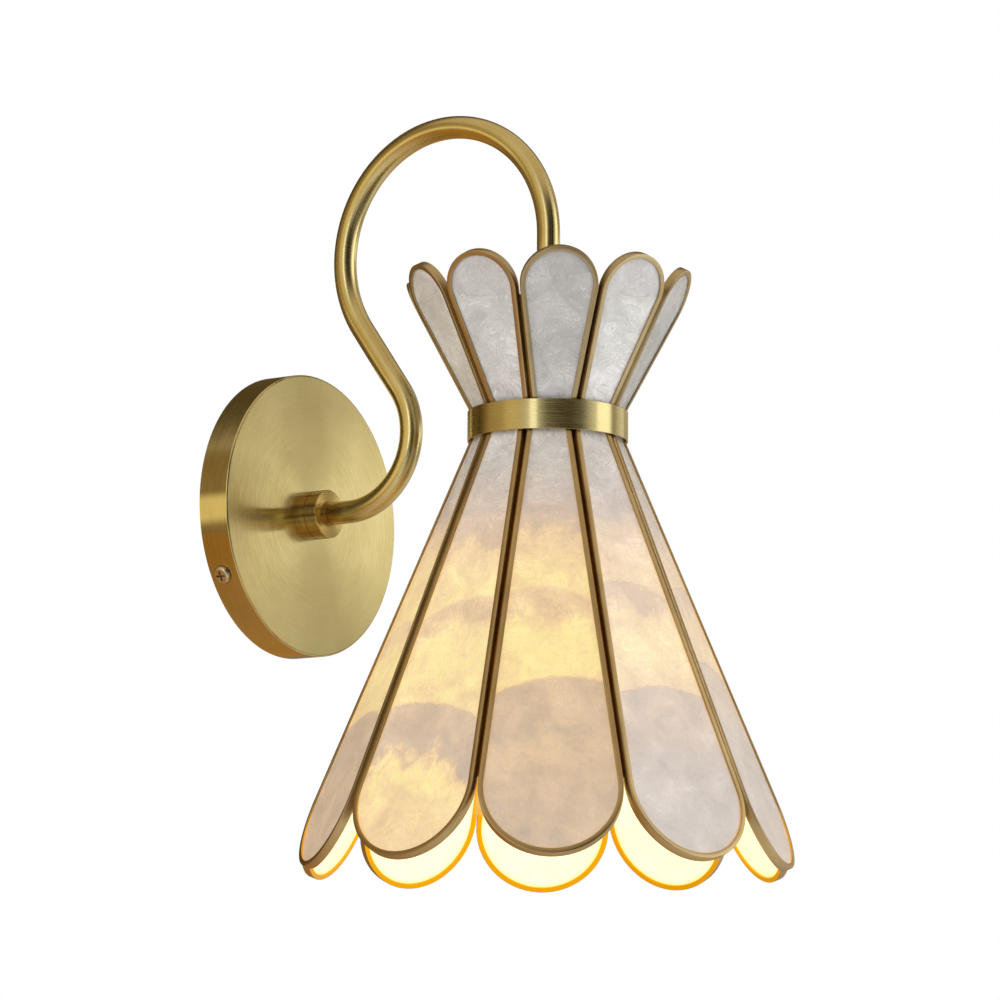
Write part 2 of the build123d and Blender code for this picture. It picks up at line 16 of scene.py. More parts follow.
import bmesh
import bpy
from mathutils import Matrix, Vector


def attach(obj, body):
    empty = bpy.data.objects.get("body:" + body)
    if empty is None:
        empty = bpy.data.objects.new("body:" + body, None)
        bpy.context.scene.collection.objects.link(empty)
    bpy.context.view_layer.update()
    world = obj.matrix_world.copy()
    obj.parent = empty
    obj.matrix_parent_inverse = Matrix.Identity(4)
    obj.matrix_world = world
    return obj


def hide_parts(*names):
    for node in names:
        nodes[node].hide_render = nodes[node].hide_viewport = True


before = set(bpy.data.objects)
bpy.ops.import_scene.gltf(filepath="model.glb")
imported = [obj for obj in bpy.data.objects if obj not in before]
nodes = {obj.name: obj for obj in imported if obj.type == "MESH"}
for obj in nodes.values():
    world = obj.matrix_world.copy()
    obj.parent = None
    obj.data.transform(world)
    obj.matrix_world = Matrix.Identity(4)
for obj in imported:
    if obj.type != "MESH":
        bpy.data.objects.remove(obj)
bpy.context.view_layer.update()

MM = 0.001
shade_axis_y = -138.6 * MM      # the shade hangs this far in front of the wall


def put_up(name, data):
    """Put an object with this data in the scene."""
    made = bpy.data.objects.new(name, data)
    bpy.context.scene.collection.objects.link(made)
    return made

# %% [markdown]
# ## The camera
#
# The picture was taken from the light's left, a little below its middle, with a long lens: the rim of
# the canopy is seen as a narrow band, and we look slightly up at the shade.  A camera can be placed by
# eye, but here the canopy's ellipse, the tube's line and the petals' tips pin it down, so it is given
# as a point to look at, two angles, a distance and a focal length.  A small roll levels it.

# %% Camera
camera_target = Vector((0.0, -0.11425, -0.0016))
camera_azimuth = math.radians(-56.12)
camera_elevation = math.radians(-9.307)
camera_roll = math.radians(0.326)
camera_distance = 1.8088
sensor_width = 36.0
focal_length = 151.84

camera_data = bpy.data.cameras.new("portrait_camera")
camera_data.sensor_width = sensor_width
camera_data.lens = focal_length
camera_data.clip_end = 50.0
camera = put_up("portrait_camera", camera_data)
bpy.context.scene.camera = camera

back = Vector((
    math.sin(camera_azimuth) * math.cos(camera_elevation),
    -math.cos(camera_azimuth) * math.cos(camera_elevation),
    math.sin(camera_elevation),
))
right = Vector((math.cos(camera_azimuth), math.sin(camera_azimuth), 0.0))
level = Matrix((right, back.cross(right), back)).transposed().to_4x4()
turn = level @ Matrix.Rotation(camera_roll, 4, "Z")
camera.matrix_world = Matrix.Translation(camera_target + back * camera_distance) @ turn
print("camera at", [round(v, 3) for v in camera.matrix_world.translation])

# %% [markdown]
# ## Helpers for finishes
#
# A finish is a tree of shader nodes.  Wired by hand each tree takes dozens of lines, so a small class
# adds a node, fills its inputs with numbers or with other nodes' outputs, and hands back the output
# that the next node needs.  Every pattern below is procedural: it is worked out from the place on the
# piece, never from a picture.

# %% Finish: a material being wired
white, black = (1.0, 1.0, 1.0), (0.0, 0.0, 0.0)


class Finish:
    """A material, or the world, under construction.  Each method adds a node and returns its output."""

    def __init__(self, name, world=None):
        self.material = world or bpy.data.materials.new(name)
        self.material.use_nodes = True
        self.tree = self.material.node_tree
        self.tree.nodes.clear()

    def node(self, kind, inputs=(), **settings):
        """Add a node; inputs gives its sockets' values or the outputs to wire into them."""
        made = self.tree.nodes.new("ShaderNode" + kind)
        for name, value in settings.items():
            setattr(made, name, value)
        for name, value in dict(inputs).items():
            if isinstance(value, bpy.types.NodeSocket):
                self.tree.links.new(value, made.inputs[name])
            else:
                made.inputs[name].default_value = value
        return made

    def place(self):
        """The place on the object, in metres."""
        return self.node("TexCoord").outputs["Object"]

    def attribute(self, name):
        """A value that the mesh itself carries."""
        return self.node("Attribute", attribute_name=name).outputs["Vector"]

    def parts(self, vector):
        """The three numbers in a vector."""
        split = self.node("SeparateXYZ", {"Vector": vector})
        return split.outputs["X"], split.outputs["Y"], split.outputs["Z"]

    def joined(self, x, y, z):
        """A vector from three numbers."""
        return self.node("CombineXYZ", {"X": x, "Y": y, "Z": z}).outputs["Vector"]

    def math(self, operation, first, second=0.0, third=0.0, clamp=False):
        """Arithmetic on numbers."""
        inputs = {0: first, 1: second, 2: third}
        return self.node("Math", inputs, operation=operation, use_clamp=clamp).outputs[0]

    def times(self, first, *others):
        """The product of numbers."""
        for other in others:
            first = self.math("MULTIPLY", first, other)
        return first

    def blend(self, share, first, second):
        """A share of the first number and the rest of the second."""
        return self.math("MULTIPLY_ADD", first, share, self.times(second, 1.0 - share))

    def vector(self, operation, first, second=(0.0, 0.0, 0.0)):
        """Arithmetic on vectors; a length or a dot product comes back as a number."""
        made = self.node("VectorMath", {0: first, 1: second}, operation=operation)
        return made.outputs["Value" if operation in ("LENGTH", "DOT_PRODUCT") else "Vector"]

    def noise(self, place, scale, detail=3.0, roughness=0.5, distortion=0.0, w=None):
        """Cloudy noise from 0 to 1; with w it has a fourth direction."""
        inputs = {"Vector": place, "Scale": scale, "Detail": detail, "Roughness": roughness,
                  "Distortion": distortion}
        if w is None:
            return self.node("TexNoise", inputs).outputs["Fac"]
        return self.node("TexNoise", {**inputs, "W": w}, noise_dimensions="4D").outputs["Fac"]

    def spread(self, value, low, high, to_low=0.0, to_high=1.0, smooth=False):
        """A value stretched from one range to another, and kept inside it."""
        inputs = {"Value": value, "From Min": low, "From Max": high, "To Min": to_low, "To Max": to_high}
        kind = "SMOOTHSTEP" if smooth else "LINEAR"
        return self.node("MapRange", inputs, interpolation_type=kind).outputs["Result"]

    def ramp(self, value, stops):
        """A colour for each value, from (position, red, green, blue) stops."""
        made = self.node("ValToRGB", {"Fac": value})
        bar = made.color_ramp.elements
        while len(bar) < len(stops):
            bar.new(0.5)
        for element, (position, *colour) in zip(bar, stops):
            element.position = position
            element.color = (*colour, 1.0)
        return made.outputs["Color"]

    def mix(self, share, first, second, how="MIX"):
        """One colour laid over another.  The node's sockets 6 and 7 and its output 2 are colours."""
        made = self.node("Mix", {"Factor": share}, data_type="RGBA", blend_type=how)
        for socket, value in ((made.inputs[6], first), (made.inputs[7], second)):
            if isinstance(value, bpy.types.NodeSocket):
                self.tree.links.new(value, socket)
            else:
                socket.default_value = (*value, 1.0)
        return made.outputs[2]

    def bump(self, height, distance, under=None):
        """Fine relief, with its real height in metres, over the relief already there."""
        inputs = {"Height": height, "Distance": distance}
        if under is not None:
            inputs["Normal"] = under
        return self.node("Bump", inputs).outputs["Normal"]

    def done(self, **inputs):
        """Wire the surface shader; a name's underscores stand for spaces."""
        named = {name.replace("_", " "): value for name, value in inputs.items()}
        surface = self.node("BsdfPrincipled", named)
        self.node("OutputMaterial", {"Surface": surface.outputs["BSDF"]})
        print("finish", self.material.name, "has", len(self.tree.nodes), "nodes")
        return self.material

# %% [markdown]
# ## Satin brass
#
# The canopy, the tube, the band and the turned parts are brass that was brushed with an abrasive pad
# and lacquered.  The pad leaves hair-fine scratches that all run one way: round and round on a piece
# that turned in a lathe, lengthwise on a tube.  Across the scratches the surface is rough, along them
# it is smooth, and that is what draws the light out into fans and streaks.
#
# The scratches could be drawn in a picture, but noise that is stretched along the scratch is lighter
# and has no seams.  The fourth direction of the noise closes the pattern round a turned piece: the
# angle is given as its cosine and sine, so it meets itself without a joint.

# %% Colours of brass: dark, middle and light
satin_brass = ((0.385, 0.308, 0.128), (0.525, 0.438, 0.198), (0.655, 0.568, 0.290))     # canopy, band
brown_brass = ((0.300, 0.200, 0.085), (0.455, 0.325, 0.150), (0.600, 0.460, 0.230))     # skirt's frames
pale_brass = ((0.330, 0.240, 0.115), (0.470, 0.360, 0.195), (0.610, 0.500, 0.290))      # crown's frames
bright_brass = ((0.440, 0.345, 0.140), (0.590, 0.480, 0.210), (0.720, 0.610, 0.310))    # tube
collar_brass_with_painted_shade = ((0.270, 0.180, 0.045), (0.420, 0.290, 0.090), (0.580, 0.430, 0.160))      # collar: the brass darkened and warmed, as painted shade and reflection
lamplit_brass = (0.42, 0.17, 0.003)     # painted light: where the bulb shines on it, what it throws back of the room
lamp_on_brass = (0.86, 0.40, 0.0)       # and of the bulb, painted as a glow

# %% Brass that was brushed
across_scratches = 0.25         # of a turn: light spreads across the scratches, not along them


def brushed_brass(finish, grain, tarnish, gloss, brass, depth=0.006 * MM, lamplight=None, **surface):
    """Wire brass whose scratches follow a grain from 0 to 1, with slow patches of tarnish."""
    dark, middle, light = brass
    shade = finish.blend(0.55, grain, tarnish)
    colour = finish.ramp(shade, ((0.30, *dark), (0.50, *middle), (0.70, *light)))
    roughness = finish.spread(grain, 0.25, 0.75, gloss * 0.6, gloss * 1.45)
    normal = finish.bump(grain, depth)
    # painted light: where the bulb would shine, the brass is turned orange and made to glow
    if lamplight is not None:
        lit_share = finish.math("MULTIPLY", lamplight, 1.7, clamp=True)
        colour = finish.mix(lit_share, colour, lamplit_brass)
        surface["Emission_Color"] = finish.mix(lamplight, black, lamp_on_brass)
        surface["Emission_Strength"] = 1.0
    return finish.done(Base_Color=colour, Metallic=1.0, Roughness=roughness, Normal=normal, **surface)


def turned_brass(name, centre, axis, across, around, gloss=0.30, brass=satin_brass):
    """Brass brushed in a lathe: scratches run round an axis through a centre.

    across and around say how fast the scratches change across them and along them.
    """
    finish = Finish(name)
    x, y, z = finish.parts(finish.vector("SUBTRACT", finish.place(), centre))
    along, first, second = (y, x, z) if axis == "Y" else (z, x, y)
    radius = finish.vector("LENGTH", finish.joined(first, second, 0.0))
    safe_radius = finish.math("MAXIMUM", radius, 0.05 * MM)
    cosine = finish.math("DIVIDE", first, safe_radius)
    sine = finish.math("DIVIDE", second, safe_radius)
    fine_place = finish.joined(finish.times(radius, across), finish.times(along, across),
                               finish.times(cosine, around))
    fourth = finish.times(sine, around)
    fine = finish.noise(fine_place, 1.0, detail=4.0, roughness=0.65, w=fourth)
    broad_place = finish.vector("MULTIPLY", fine_place, (0.2, 0.2, 0.5))
    broad = finish.noise(broad_place, 1.0, detail=2.0, w=fourth)
    grain = finish.blend(0.87, fine, broad)
    tarnish = finish.noise(finish.place(), 28.0, detail=3.0)
    tangent = finish.node("Tangent", direction_type="RADIAL", axis=axis).outputs["Tangent"]
    return brushed_brass(finish, grain, tarnish, gloss, brass, 0.002 * MM, Anisotropic=1.0,
                         Anisotropic_Rotation=across_scratches, Tangent=tangent)


canopy_centre = (0.0, 0.0, 0.0)
canopy_brass = turned_brass("canopy_brass", canopy_centre, "Y", across=3600.0, around=5.0, gloss=0.13)
collar_brass = turned_brass("collar_brass", canopy_centre, "Y", across=4200.0, around=1.2, gloss=0.20,
                            brass=collar_brass_with_painted_shade)
shade_centre = (0.0, shade_axis_y, 0.0)
band_brass = turned_brass("band_brass", shade_centre, "Z", across=4800.0, around=1.6, gloss=0.27)
turned_end_brass = turned_brass("turned_end_brass", shade_centre, "Z", across=4200.0, around=1.2)


def drawn_grain(name, lengthwise):
    """The scratches of brass brushed lengthwise; the mesh carries its place across and along them."""
    finish = Finish(name)
    place = finish.attribute("grain")
    stretched = finish.vector("MULTIPLY", place, (2600.0, 2600.0, lengthwise))
    fine = finish.noise(stretched, 1.0, detail=4.0, roughness=0.6)
    broad = finish.noise(finish.vector("MULTIPLY", place, (500.0, 500.0, 12.0)), 1.0, detail=2.0)
    grain = finish.blend(0.65, fine, broad)
    tarnish = finish.noise(finish.place(), 34.0, detail=4.0)
    return finish, grain, tarnish


tube_grain = drawn_grain("tube_brass", lengthwise=25.0)
tube_brass = brushed_brass(*tube_grain, gloss=0.25, brass=bright_brass)

# %% [markdown]
# ## Capiz shell
#
# The panels are windowpane oyster shell: flat discs, split thin, laid over each other like scales and
# pressed between clear lacquer.  Where one shell lies alone the lamp shines through it warm and bright.
# Where two overlap it turns grey and lilac, and the upper edge of the lower disc shows as an arch.
#
# A panel could be lit through by the renderer, but that needs very many samples to look clean.  The
# light that reaches a panel is simple to work out instead: the bulb is nearly a point, so it falls with
# the square of the distance and with the slant of the panel.  That number drives how much the shell
# glows and how warm it looks, and the overlaps, clouds and cracks hold it back.
#
# Each panel's mesh carries what sets it apart from the others: its own flat place and its number
# ("shell"), where its three rows of shells begin ("rows") and how far each row's arch sits off the
# middle ("middles"), and its habit ("habit": how clear its shells are, how much light passes below the
# lowest row, and whether the brass is near).  On the unlit crown the first two numbers of the habit are
# how light and how creamy the shell is; how light is partly painted light, for the light and reflections
# that fall on each panel.

# %% The lamp's light at a place
glow_middle = (0.0, shade_axis_y, -98.0 * MM)   # most light leaves the bulb's lower half
glow_to_panel = 73.7 * MM       # the shortest way from there to a skirt panel


def lamp_light(finish):
    """How strongly the bulb lights the place (1 at the nearest shell), and how squarely."""
    away = finish.vector("SUBTRACT", finish.place(), glow_middle)
    distance = finish.vector("LENGTH", away)
    normal = finish.node("NewGeometry").outputs["Normal"]
    slant = finish.math("DIVIDE", finish.vector("DOT_PRODUCT", away, normal), distance)
    square = finish.math("DIVIDE", glow_to_panel ** 2, finish.times(distance, distance))
    return square, slant


def light_on_metal(finish):
    """The bulb's light on the frames' and the solder's inner faces, to be painted on them as colour and
    glow.
    """
    square, slant = lamp_light(finish)
    return finish.times(finish.math("POWER", square, 0.5), finish.spread(slant, -0.14, -0.48))


# %% Patterns in the shell
def shell_patterns(finish, across, along, number):
    """Clouds, wisps, fine crumpled fibres and thin cracks, each from 0 to 1."""
    flat_place = finish.joined(across, along, finish.times(number, 0.31))
    longer = finish.vector("MULTIPLY", flat_place, (1.0, 0.55, 1.0))
    cloud = finish.noise(flat_place, 62.0, detail=4.0, roughness=0.55, distortion=0.6)
    wisp = finish.noise(longer, 260.0, detail=5.0, roughness=0.65, distortion=1.2)

    # the fibres run in a direction that drifts with the clouds
    heading = finish.times(cloud, 7.0)
    inputs = {"Vector": flat_place, "Angle": heading}
    turned = finish.node("VectorRotate", inputs, rotation_type="Z_AXIS").outputs["Vector"]
    combed = finish.vector("MULTIPLY", turned, (1.0, 0.3, 1.0))
    fibre = finish.noise(combed, 850.0, detail=4.0, roughness=0.7, distortion=0.6)

    # cracks are the borders of cells, bent out of their straight lines, and only in the denser clouds
    warp = finish.noise(flat_place, 140.0, detail=3.0)
    bent = finish.joined(finish.times(warp, 12 * MM), finish.times(wisp, 6 * MM), 0.0)
    warped = finish.vector("ADD", flat_place, bent)
    cells = finish.node("TexVoronoi", {"Vector": warped, "Scale": 55.0}, feature="DISTANCE_TO_EDGE")
    line = finish.spread(cells.outputs["Distance"], 0.0, 0.035, 1.0, 0.0)
    crack = finish.times(line, finish.spread(cloud, 0.54, 0.66, 0.0, 0.6))
    return cloud, wisp, fibre, crack


# %% Where shells overlap
arch_curves = (15.0, 15.0, 9.0) # a row's edge drops by this times the square of the place across
band_lengths = (22 * MM, 13 * MM)       # of the two upper overlaps, along the panel
band_top_blurs = (4.0 * MM, 1.6 * MM)
band_foot_blurs = (2.5 * MM, 7.0 * MM)
lowest_blur = 1.3 * MM
arch_line = 0.5 * MM            # half the width of the relief along an arch


def shifted(finish, pattern, amount):
    """A pattern as a distance: up to half an amount either way."""
    return finish.times(finish.math("SUBTRACT", pattern, 0.5), amount)


def shell_overlaps(finish, across, along, cloud, wisp, fibre):
    """The two upper bands, the shells below the lowest arch, their second layer, and the arches."""
    ragged = shifted(finish, wisp, 8 * MM)
    billow = shifted(finish, cloud, 30 * MM)
    frayed = shifted(finish, fibre, 1.8 * MM)
    rows = finish.parts(finish.attribute("rows"))
    middles = finish.parts(finish.attribute("middles"))
    near = []                   # how far past each row's edge the place is
    for row, middle, curve in zip(rows, middles, arch_curves):
        off = finish.math("SUBTRACT", across, middle)
        arch = finish.times(off, off, curve)
        level = finish.math("SUBTRACT", finish.math("SUBTRACT", along, arch), row)
        wavy = finish.math("MULTIPLY_ADD", ragged, 0.65, level)
        near.append(finish.math("ADD", finish.math("MULTIPLY_ADD", billow, 0.12, wavy), frayed))
    bands = []
    for level, length, top_blur, foot_blur in zip(near, band_lengths, band_top_blurs, band_foot_blurs):
        top = finish.spread(level, -top_blur, top_blur, smooth=True)
        far = finish.math("ADD", level, finish.math("MULTIPLY_ADD", billow, 0.5, ragged))
        foot = finish.spread(far, length - foot_blur, length + foot_blur, 1.0, 0.0, smooth=True)
        bands.append(finish.times(top, foot))
    lowest = finish.spread(near[2], -lowest_blur, lowest_blur, smooth=True)
    far = finish.math("ADD", near[2], finish.math("ADD", ragged, billow))
    second_layer = finish.spread(far, 20 * MM, 34 * MM, 1.0, 0.0, smooth=True)
    lines = [finish.spread(finish.math("ABSOLUTE", level), 0.0, arch_line, 1.0, 0.0)
             for level in near[1:]]
    return bands, lowest, second_layer, finish.math("MAXIMUM", *lines)


# %% Light through the shell
glow_colours = (                # of the outside, from no light to full light
    (0.0, 0.04, 0.03, 0.02), (0.12, 0.165, 0.100, 0.055), (0.25, 0.335, 0.195, 0.085),
    (0.50, 0.640, 0.405, 0.180), (0.75, 0.735, 0.500, 0.190), (1.0, 0.780, 0.620, 0.180))
milky_glow = (0.56, 0.49, 0.44)         # of shells that aren't clear
amber_glow = (0.60, 0.33, 0.06)         # beside the brass: painted warm light off the channel
# the inside's glow, and beside the brass its painted warmer light
inside_glow = (0.95, 0.81, 0.44)
inside_rim_glow = (0.95, 0.58, 0.05)


def shell_glow(finish, along, habit, overlaps, patterns):
    """How much of the lamp's light comes through a panel, and the colour that it shines in."""
    clarity, lower, rim = habit
    bands, lowest, second_layer, _ = overlaps
    cloud, wisp, fibre, _ = patterns
    square, slant = lamp_light(finish)
    facing_lamp = finish.math("MAXIMUM", slant, 0.0)
    light = finish.math("POWER", finish.times(square, facing_lamp), 0.5)
    holder_shadow = finish.spread(along, 6 * MM, 78 * MM, 0.10, 1.0, smooth=True)
    light = finish.times(light, holder_shadow)

    upper = finish.math("MULTIPLY_ADD", bands[1], -0.40, 1.0)
    upper = finish.math("MULTIPLY_ADD", bands[0], -0.26, upper)
    patch = finish.math("MULTIPLY_ADD", finish.math("SUBTRACT", 0.38, lower), second_layer, lower)
    held_back = finish.math("MULTIPLY_ADD", finish.math("SUBTRACT", patch, 1.0), lowest, 1.0)
    passed = finish.math("ADD", finish.math("SUBTRACT", upper, 1.0), held_back)
    clouds = finish.spread(cloud, 0.3, 0.7, 0.74, 1.18)
    wisps = finish.spread(wisp, 0.3, 0.7, 0.80, 1.20)
    fibres = finish.spread(fibre, 0.32, 0.68, 0.70, 1.30)
    glow = finish.times(light, clouds, passed, clarity, wisps, fibres)
    glow = finish.math("MULTIPLY", glow, finish.spread(slant, 0.0, 0.05), clamp=True)

    milk = finish.times(finish.math("SUBTRACT", 1.0, clarity), finish.spread(light, 0.0, 0.5))
    outside = finish.mix(milk, finish.ramp(glow, glow_colours), milky_glow)
    outside = finish.mix(finish.times(rim, 0.12), outside, amber_glow)
    inside = finish.mix(finish.spread(rim, 0.1, 0.75), inside_glow, inside_rim_glow)
    return glow, finish.mix(finish.spread(slant, -0.02, -0.12), outside, inside)


# %% Shell panels, lit and unlit
pearl_colours = (
    (0.40, 0.385, 0.376, 0.358), (0.50, 0.500, 0.490, 0.470), (0.60, 0.635, 0.624, 0.606))
lilac_tint = (0.98, 0.95, 0.98)         # where shells overlap
crack_colour = (0.78, 0.77, 0.75)
cream_tint = (1.0, 0.925, 0.82)
tip_warm_tint = (1.0, 0.965, 0.86)           # a warmer tone of clear, lit shell towards the tip
soft_relief = 0.36 * MM
fine_relief = 0.20 * MM


def shell_finish(name, lit):
    """Shell in clear lacquer; a lit one glows from the bulb behind it."""
    finish = Finish(name)
    across, along, number = finish.parts(finish.attribute("shell"))
    habit = clarity, lower, _ = finish.parts(finish.attribute("habit"))
    patterns = cloud, wisp, fibre, crack = shell_patterns(finish, across, along, number)
    overlaps = bands, lowest, _, arches = shell_overlaps(finish, across, along, cloud, wisp, fibre)

    mottle = finish.blend(0.65, fibre, cloud)
    layers = finish.math("MAXIMUM", finish.math("MAXIMUM", bands[0], bands[1]), lowest)
    pearl = finish.ramp(mottle, pearl_colours)
    lilac = finish.mix(finish.times(layers, 0.6), pearl, lilac_tint, "MULTIPLY")
    veined = finish.mix(finish.times(crack, 0.5), lilac, crack_colour)

    relief = finish.blend(0.7, wisp, cloud)
    finer = finish.math("MULTIPLY_ADD", crack, -0.5, finish.math("MULTIPLY_ADD", arches, -0.3, fibre))
    normal = finish.bump(finer, fine_relief, finish.bump(relief, soft_relief))
    surface = {"Roughness": finish.spread(wisp, 0.3, 0.7, 0.28, 0.46), "Specular_IOR_Level": 0.8,
               "Coat_Weight": 0.5, "Coat_Roughness": 0.16, "Normal": normal, "Coat_Normal": normal}
    if not lit:
        cream = finish.mix(lower, white, cream_tint)
        # painted light: a crown panel's lightness also stands for the light and reflections that fall on
        # it
        tone_and_painted_light = finish.joined(clarity, clarity, clarity)
        toned = finish.mix(1.0, finish.mix(1.0, veined, cream, "MULTIPLY"), tone_and_painted_light, "MULTIPLY")
        return finish.done(Base_Color=toned, **surface)

    # what shines through adds to what the shell throws back, so the second gives way to the first
    glow, glow_colour = shell_glow(finish, along, habit, overlaps, patterns)
    tip_warmth = finish.mix(finish.spread(clarity, 0.75, 1.0), white, tip_warm_tint)
    warmed_towards_tip = finish.mix(finish.spread(along, 40 * MM, 110 * MM), veined,
                         finish.mix(1.0, veined, tip_warmth, "MULTIPLY"))
    dim_share = finish.times(finish.spread(glow, 0.0, 0.45, 0.0, 0.62), clarity)
    dimmed = finish.mix(dim_share, warmed_towards_tip, black)
    return finish.done(Base_Color=dimmed, Emission_Color=glow_colour, Emission_Strength=1.0, **surface)


lit_shell = shell_finish("lit_shell", lit=True)
quiet_shell = shell_finish("quiet_shell", lit=False)

# %% [markdown]
# ## Brass frames
#
# Each panel sits in its own brass channel.  The crown's channels only catch the room's light.  The
# skirt's are lit from inside by the bulb, which turns their inner faces a deep orange, so their brass
# takes the lamp's light as worked out above, painted into its colour and glow.

# %% Brass of the frames
crown_grain = drawn_grain("crown_frame_brass", lengthwise=60.0)
crown_brass = brushed_brass(*crown_grain, gloss=0.36, brass=pale_brass)
skirt_grain = drawn_grain("skirt_frame_brass", lengthwise=60.0)
skirt_brass = brushed_brass(*skirt_grain, gloss=0.33, brass=brown_brass,
                            lamplight=light_on_metal(skirt_grain[0]))

# %% [markdown]
# ## Finishes of the parts behind and inside
#
# A wall light also holds parts that only an electrician sees: a zinc-plated bracket, a terminal block,
# porcelain, solder, a white lead.  They get quieter finishes, each with the unevenness that its own
# making leaves: flow marks on a moulding, spangle on zinc, a glaze that pools.  One recipe serves them
# all: broad and fine noise drive the colour, the roughness and a soft relief together.
#
# Solids whose shape is already right only need their own finish: the mesh stays, its material changes.

# %% Quieter finishes
def cast_finish(name, dark, light, metallic, low, high, scale, relief, lit=False, **surface):
    """A mottled finish: two colours, a range of roughness and a soft relief (mm) at one scale."""
    finish = Finish(name)
    place = finish.place()
    broad = finish.noise(place, scale, detail=4.0, roughness=0.6)
    fine = finish.noise(place, scale * 9.0, detail=3.0)
    shade = finish.blend(0.35, fine, broad)
    colour = finish.ramp(shade, ((0.30, *dark), (0.70, *light)))
    roughness = finish.spread(shade, 0.3, 0.7, low, high)
    # painted light: where the bulb would shine, the finish glows orange
    if lit:
        surface["Emission_Color"] = finish.mix(light_on_metal(finish), black, lamp_on_brass)
        surface["Emission_Strength"] = 1.0
    return finish.done(Base_Color=colour, Metallic=metallic, Roughness=roughness,
                       Normal=finish.bump(shade, relief * MM), **surface)


quiet_finishes = {              # dark, light, metallic, smoothest, roughest, scale, relief
    "plain_brass": ((0.42, 0.29, 0.11), (0.66, 0.50, 0.23), 1.0, 0.26, 0.42, 90.0, 0.02),
    "zinc_plate": ((0.30, 0.31, 0.32), (0.46, 0.46, 0.45), 0.35, 0.38, 0.55, 140.0, 0.015),
    "screw_metal": ((0.40, 0.33, 0.22), (0.66, 0.58, 0.42), 1.0, 0.22, 0.40, 300.0, 0.01),
    "solder": ((0.22, 0.15, 0.07), (0.46, 0.33, 0.16), 1.0, 0.28, 0.55, 260.0, 0.12),
    "porcelain": ((0.70, 0.68, 0.63), (0.82, 0.81, 0.78), 0.0, 0.10, 0.22, 60.0, 0.05),
    "terminal_nylon": ((0.66, 0.65, 0.60), (0.76, 0.75, 0.71), 0.0, 0.42, 0.58, 220.0, 0.02),
    "lead_sheath": ((0.66, 0.66, 0.64), (0.76, 0.76, 0.74), 0.0, 0.38, 0.52, 180.0, 0.02),
    "bulb_cap_metal": ((0.50, 0.50, 0.49), (0.74, 0.74, 0.72), 1.0, 0.20, 0.36, 240.0, 0.01),
    "opal_glass": ((0.84, 0.82, 0.76), (0.90, 0.88, 0.83), 0.0, 0.10, 0.16, 40.0, 0.01),
}
shining = {
    "solder": {"lit": True},
    "opal_glass": {"Emission_Color": (1.0, 0.83, 0.52, 1.0), "Emission_Strength": 2.2},
}
quiet = {name: cast_finish(name, *numbers, **shining.get(name, {}))
         for name, numbers in quiet_finishes.items()}

# %% The solids that keep their own shape
for material, *names in (
    (canopy_brass, "canopy"), (collar_brass, "arm_collar"), (band_brass, "waist_band"),
    (turned_end_brass, "arm_coupling", "holder_cap"),
    (quiet["plain_brass"], "waist_plate", "arm_nipple", "holder_shell", "holder_contact"),
    (quiet["zinc_plate"], "wall_bracket", "arm_locknut"), (quiet["screw_metal"], "m4_screws"),
    (quiet["solder"], "solder_seams"), (quiet["porcelain"], "holder_body"),
    (quiet["terminal_nylon"], "terminal_block"), (quiet["lead_sheath"], "lamp_lead"),
    (quiet["opal_glass"], "bulb_glass"), (quiet["bulb_cap_metal"], "bulb_cap", "bulb_contact"),
):
    for name in names:
        mesh = nodes[name].data
        mesh.materials.clear()
        mesh.materials.append(material)
    print(material.name, "on", ", ".join(names))

# %% [markdown]
# ## Helpers for modelled pieces
#
# Each new piece starts as a bmesh, is shaped by operators, and ends as an object at the origin whose
# place is in its mesh, riding the same body as the solid that it stands for.

# %% From bmesh to a riding piece
def object_from(shape, name, material):
    """Turn a bmesh into an object at the origin."""
    mesh = bpy.data.meshes.new(name)
    shape.to_mesh(mesh)
    shape.free()
    mesh.materials.append(material)
    return put_up(name, mesh)


def piece(name, shape, material, body, replaced):
    """Make a smooth-shaded piece that rides a body in place of a solid."""
    bmesh.ops.recalc_face_normals(shape, faces=shape.faces)
    made = object_from(shape, name, material)
    made.data.shade_smooth()
    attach(made, body)
    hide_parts(replaced)


def verts_of(grown):
    """The vertices among what an operator made."""
    return [part for part in grown if isinstance(part, bmesh.types.BMVert)]


def edges_of(grown):
    """The edges among what an operator made."""
    return [part for part in grown if isinstance(part, bmesh.types.BMEdge)]


def sharpen(shape, angle=math.radians(40.0)):
    """Mark the edges that turn by more than an angle, so that smooth shading stops there."""
    for edge in shape.edges:
        edge.smooth = len(edge.link_faces) == 2 and edge.calc_face_angle(0.0) < angle

# %% [markdown]
# ## The petals
#
# Ten long petals make the skirt and ten short ones the crown.  Each is a flat, round-ended plate whose
# sides widen away from the waist.  Drawn flat, its outline is one arc and three straight lines, and the
# arc is as wide as lets it run into the sides without a corner.
#
# The flat outline is worked out from a few sizes of the real thing: the ring's slope, its length and
# the band that it stands in.  The frame of a petal is a brass channel: the outline is extruded from
# corner to corner of the channel's section until it closes, and the corners are rounded.  A swept
# curve could do this too, but it would twist where the arc meets the sides.

# %% The petal's flat drawing
petal_count = 10
petal_pitch = math.radians(360.0 / petal_count)
half_pitch_tangent = math.tan(petal_pitch / 2)
frame_depth = 3.7 * MM
frame_face = 2.2 * MM           # width of the brass round a panel
frame_lip = 0.75 * MM           # brass in front of a panel
frame_grip = 1.0 * MM           # width of the panel's edge inside the channel
frame_side_gap = 0.1 * MM
panel_thickness = 2.1 * MM
panel_gap = 0.05 * MM
panel_rim = 3.0 * MM            # width of a panel's edge where painted warm light off the brass falls
petal_corner = (33.5 - 0.08) * MM     # the distance of the face's corners from the axis, at the band
waist_middle = 27.6 * MM
root_gap = 0.4 * MM
tip_steps = 40                  # of the arc at the tip


